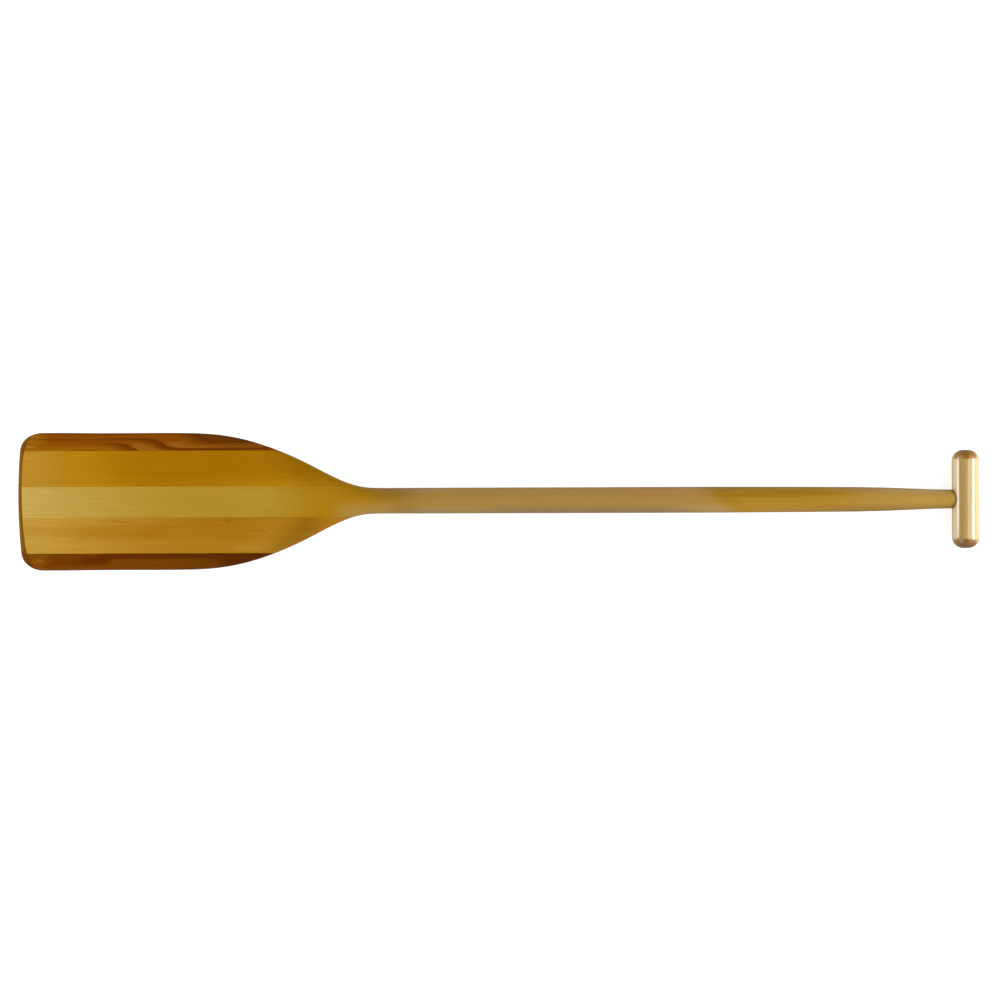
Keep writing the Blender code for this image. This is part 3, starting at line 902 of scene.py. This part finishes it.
def dark_brown_wood():
    """Outer strip on the left: darker, in broad soft zones with nearly straight grain."""
    f = Finish("dark_brown_wood")
    lines = fibres(f, seed=80)
    wander = f.noise(70, 9, 9, detail=3, seed=82) - 0.5
    rings = f.rings(f.y + 79 + wander * 9 + f.s * 0.018, f.z + 9 + wander * 5, 4.4, late=0.7)
    slow = f.noise(60, 5, 5, detail=2, seed=85) - 0.5
    # depth below the glue line
    deep = -57.6 - f.y + wander * 2.4
    band = f.span(deep, 4.6, 8.4) * f.span(deep, 12, 17, 1.0, 0.62)
    band = band * f.span(f.s + deep * 2.1 + wander * 16, 110, 128) * f.span(f.s, 214, 238, 1.0, 0.0)
    tip = f.span(f.s + wander * 14, 24, 44, 1.1, 0.36) * f.span(f.s + wander * 14, 58, 84, 1.0, 0.0)
    edge = f.span(deep, 10.0, 14.5) * f.span(f.s, 88, 98, 0.62, 0.0)
    top = f.span(deep, 0.5, 3.4, 1.0, 0.0) * f.span(f.s, 50, 62) * f.span(f.s, 84, 98, 0.6, 0.0)
    share = f.clamped(f.most(f.most(band * 0.74, tip), f.most(edge, top)) + slow * 0.42 + lines[0] * 0.3)
    colour = f.mix(share, (0.122, 0.0265, 0.0003), (0.215, 0.066, 0.0020))
    pale = mark(f, 24, -65, 9, 4.2, ragged=0.5, seed=87)
    colour = f.mix(pale * 0.4, colour, (0.33, 0.135, 0.020))
    colour = f.mix(rings * 0.16, colour, (0.085, 0.018, 0.0003))
    colour = f.scaled(colour, f.span(f.s, 130, 250, 1.0, 0.80))
    holes = pores(f, share=0.54, seed=84, long=4.5, wide=0.36)
    colour = f.scaled(colour, 1 + lines[1] * 0.26 + lines[2] * 0.24 - holes * 0.18)
    colour = f.mix(glue_film(f) * 0.35, colour, (0.05, 0.013, 0.0005))
    roughness = 0.42 + lines[1] * 0.2 + holes * 0.14
    return f.finish(colour, roughness, varnish_relief(f, lines, holes, 81), coat=0.55)


def amber_resin():
    """The tip: cast resin sanded flush, with painted shade darkening its rounded rim, which is also rougher, and a
    few bubbles.
    """
    f = Finish("amber_resin")
    swirl = f.noise(16, 16, detail=3, seed=90, distortion=0.8) - 0.5
    cloud = f.noise(4.5, 4.5, detail=2, seed=91) - 0.5
    colour = f.mix(f.clamped(0.5 + swirl * 1.2 + cloud * 0.6), (0.158, 0.065, 0.0030), (0.204, 0.094, 0.0062))
    # at its two corners the dark strips show through it
    colour = f.mix(f.span(f.y, 42, 56, 0.0, 0.8), colour, (0.176, 0.058, 0.0012))
    colour = f.mix(f.span(f.y, -50, -62, 0.0, 0.85), colour, (0.137, 0.036, 0.0008))
    # painted shade: the resin is darker where its rounded rim turns down; the rim is also rougher there
    scuffed_and_shaded = f.span(abs(f.z), 0.9, 2.6, 1.0, 0.0)
    colour = f.scaled(colour, 1 - scuffed_and_shaded * 0.50)
    bubbles = f.span(f.cells(2.6, 2.6, seed=92), 0.05, 0.13, 1.0, 0.0)
    colour = f.mix(bubbles * 0.22, colour, (0.42, 0.24, 0.07))
    scratch = f.noise(0.5, 9, 9, detail=2, seed=93) - 0.5
    normal = f.bump(cloud, 0.02)
    normal = f.bump(scratch + bubbles * 0.5, 0.010, normal)
    roughness = 0.34 + swirl * 0.1 + scratch * 0.12 + scuffed_and_shaded * 0.1
    return f.finish(colour, roughness, normal, coat=0.05, coat_roughness=0.25, specular=0.02)


def cream_wood():
    """The turned grip: grain across the paddle, end grain on its two rounded ends."""
    f = Finish("cream_wood")
    lines = fibres(f, seed=100, turned=True)
    wander = (f.noise(12, 60, 12, detail=2, seed=102) - 0.5) * 4
    ds = f.s - SEAT
    rings = f.rings(ds + 21 + wander, f.z + 15 + wander, 3.4)
    slow = f.noise(9, 70, 9, detail=1, seed=105) - 0.5
    colour = f.mix(f.clamped(0.5 + slow * 0.9 + lines[0] * 0.7), (0.413, 0.258, 0.071), (0.482, 0.326, 0.112))
    # a band of paler sapwood along its middle
    sap = f.span(ds + lines[1] * 2, -3.4, -0.6) * f.span(ds + lines[1] * 2, 0.6, 3.4, 1.0, 0.0)
    colour = f.mix(sap * 0.6, colour, (0.54, 0.375, 0.150))
    colour = f.mix(f.clamped(rings * 0.15 + lines[1] * 0.3), colour, (0.30, 0.164, 0.040))
    holes = pores(f, share=0.46, seed=104, turned=True, long=3.6, wide=0.28)
    flecks = f.span(f.noise(0.55, 2.2, 0.55, detail=1, seed=108), 0.64, 0.74)
    colour = f.mix(flecks * 0.12, colour, (0.26, 0.12, 0.025))
    # end grain drinks more varnish and shows the pores end on
    end = f.span(abs(f.normal[1]), 0.03, 0.30)
    deep = f.span(abs(f.normal[1]), 0.2, 0.95)
    dots = f.span(f.cells(0.55, 0.55, seed=110), 0.08, 0.34, 1.0, 0.0)
    end_colour = f.mix(rings * 0.34, (0.365, 0.165, 0.016), (0.25, 0.095, 0.006))
    # painted light: the end grain is paler towards the caps' sides
    end_colour = f.mix(f.span(abs(ds), 3.5, 11.5, 0.0, 0.55), end_colour, (0.46, 0.27, 0.070))
    # painted shade: the end on the left is the darker one, both are darkest at the very end and darker towards
    # their top
    end_cap_shade = f.span(f.y, -20, 20, 0.71, 0.98) - deep * 0.16
    end_colour = f.scaled(end_colour, f.span(f.z, -6, 12, 1.12, 0.90) * end_cap_shade - dots * 0.13)
    colour = f.mix(end, colour, end_colour)
    colour = f.scaled(colour, 1 + lines[0] * 0.10 + lines[1] * 0.12 + lines[2] * 0.10 - holes * 0.10)
    # glue and dirt in the corner round the shaft, and painted shade in that corner
    ring_gap = f.root(f.y * f.y + f.z * f.z) - 1000 * float(side_curve(GRIP_AXIS - GRIP_RADIUS))
    corner = f.span(ring_gap, 0.1, 0.9, 1.0, 0.0) * f.span(ds, -3, -8)
    colour = f.mix(corner * 0.8, colour, (0.12, 0.05, 0.01))
    roughness = 0.36 + lines[1] * 0.12 + holes * 0.1 + deep * 0.16
    relief = varnish_relief(f, lines, holes, 101, flow_depth=0.012)
    return f.finish(colour, roughness, relief, coat=1.0, coat_roughness=0.13, ior=1.8)


shaft.data.materials.append(pale_wood())
strips["inner_strip_right"].data.materials.append(honey_wood("honey_wood_right", 1))
strips["inner_strip_left"].data.materials.append(honey_wood("honey_wood_left", -1))
strips["outer_strip_right"].data.materials.append(red_brown_wood())
strips["outer_strip_left"].data.materials.append(dark_brown_wood())
guard.data.materials.append(amber_resin())
grip.data.materials.append(cream_wood())


# ---------------------------------------------------------------- floor, light, camera

# the floor is level for 6 m all round and turns up beyond, so no view shows its end
COVE = [(6, 0)] + [(6 + 5 * math.sin(a), 5 - 5 * math.cos(a)) for a in np.linspace(0.1, math.pi / 2, 24)]
bm = bmesh.new()
rings = []
for r, z in COVE + [(11, 14)]:
    turns = [2 * math.pi * k / 96 for k in range(96)]
    rings.append([bm.verts.new((r * math.cos(a), r * math.sin(a), z)) for a in turns])
bm.faces.new(rings[0])
for a, b in zip(rings, rings[1:]):
    for k in range(96):
        n = (k + 1) % 96
        bm.faces.new((a[k], a[n], b[n], b[k]))
bmesh.ops.recalc_face_normals(bm, faces=bm.faces)
floor_mesh = bpy.data.meshes.new("floor")
bm.to_mesh(floor_mesh)
bm.free()
floor_mesh.shade_smooth()
floor = bpy.data.objects.new("floor", floor_mesh)
bpy.context.scene.collection.objects.link(floor)
# the white of the backdrop is for the camera; the studio below it lights the paddle
floor.visible_diffuse = floor.visible_glossy = floor.visible_shadow = False
white = bpy.data.materials.new("floor")
white.use_nodes = True
shader = white.node_tree.nodes["Principled BSDF"]
shader.inputs["Base Color"].default_value = (0.45, 0.45, 0.45, 1)
shader.inputs["Roughness"].default_value = 0.9
shader.inputs["Specular IOR Level"].default_value = 0.0
shader.inputs["Emission Color"].default_value = (1, 1, 1, 1)
shader.inputs["Emission Strength"].default_value = 0.80
floor_mesh.materials.append(white)


def softbox(name, at, towards, width, height, power, colour=(1, 1, 1)):
    data = bpy.data.lights.new(name, "AREA")
    data.shape = "RECTANGLE"
    data.size, data.size_y = width, height
    data.energy = power
    data.color = colour
    obj = bpy.data.objects.new(name, data)
    obj.location = at
    look = Vector(towards) - Vector(at)
    obj.rotation_euler = look.to_track_quat("-Z", "Y").to_euler()
    obj.visible_camera = False
    bpy.context.scene.collection.objects.link(obj)
    return obj


# Two wide panels light the wood without being mirrored in it, or the flat blade would
# turn white when it is looked at from either end. Small strips by the grip make its streaks.
softbox("light_left", (-1.55, 0, 0.58), (0.2, 0, 0), 3.0, 1.1, 34).visible_glossy = False
softbox("light_right", (1.75, 0, 0.66), (0.4, 0, 0), 1.42, 0.56, 24).visible_glossy = False
softbox("light_right_high", (1.50, 0, 1.65), (0.0, 0, 0), 1.65, 1.42, 15.4)
softbox("strip_left", (0, 0.16, 0.142), (1, 0.16, 0.142), 0.415, 0.196, 0.87).visible_diffuse = False
softbox("strip_left_core", (0.03, 0.035, 0.17), (1, 0.035, 0.17), 0.17, 0.082, 0.13).visible_diffuse = False
softbox("strip_right", (1.02, 0, 0.295), (0, 0, 0.295), 0.52, 0.257, 4.0).visible_diffuse = False

# The studio round the paddle: a grey floor that mirrors the lights at both ends, a pale
# wall on the near side, glow from the four corners of the room, and a dark ceiling.
world = bpy.data.worlds.new("studio")
bpy.context.scene.world = world
sky = Tree(world)
x, y, z = sky.split(sky.node("ShaderNodeTexCoord").outputs["Generated"])
right = sky.span(x, 0.3, 0.6) * sky.span(abs(y), 0.18, 0.56, 1.0, 0.0)
left = sky.span(-x, 0.3, 0.6) * sky.span(abs(y), 0.13, 0.34, 1.0, 0.0)
ground = right * sky.span(z, -0.9, -0.05, 1.0, 2.8) + left * sky.span(z, -0.85, 0.05, 0.5, 3.1) + 0.36
glow = right * sky.span(z, 0.0, 0.30, 3.2, 0.0) + left * sky.span(z, 0.40, 0.66, 1.4, 0.0)
wall = sky.span(-y, 0.2, 0.75, 0.0, 0.42) * sky.span(z, 0.6, 0.92, 1.0, 0.0)
corners = sky.span(abs(x), 0.2, 0.55) * sky.span(abs(y), 0.15, 0.45) * sky.span(z, 0.05, 0.3)
below = sky.span(z, -0.05, 0.03, 1.0, 0.0)
around = below * ground + (1 - below) * (wall + glow + corners * 0.78 + 0.004)
sky.put(sky.nodes["Background"].inputs["Strength"], around)
sky.put(sky.nodes["Background"].inputs["Color"], (1.0, 1.0, 1.0))

CAMERA_DISTANCE = 4.0
FRAME_WIDTH = 1.1100
camera_data = bpy.data.cameras.new("camera")
camera_data.sensor_width = 36
camera_data.lens = 36 * CAMERA_DISTANCE / FRAME_WIDTH
camera_data.clip_start, camera_data.clip_end = 0.1, 50
camera = bpy.data.objects.new("camera", camera_data)
camera.location = (0.00128, 0.00044, GRIP_RADIUS + CAMERA_DISTANCE)
camera.rotation_euler = (0, 0, math.radians(-0.18))
bpy.context.scene.collection.objects.link(camera)
bpy.context.scene.camera = camera

bpy.context.scene.view_settings.view_transform = "Standard"
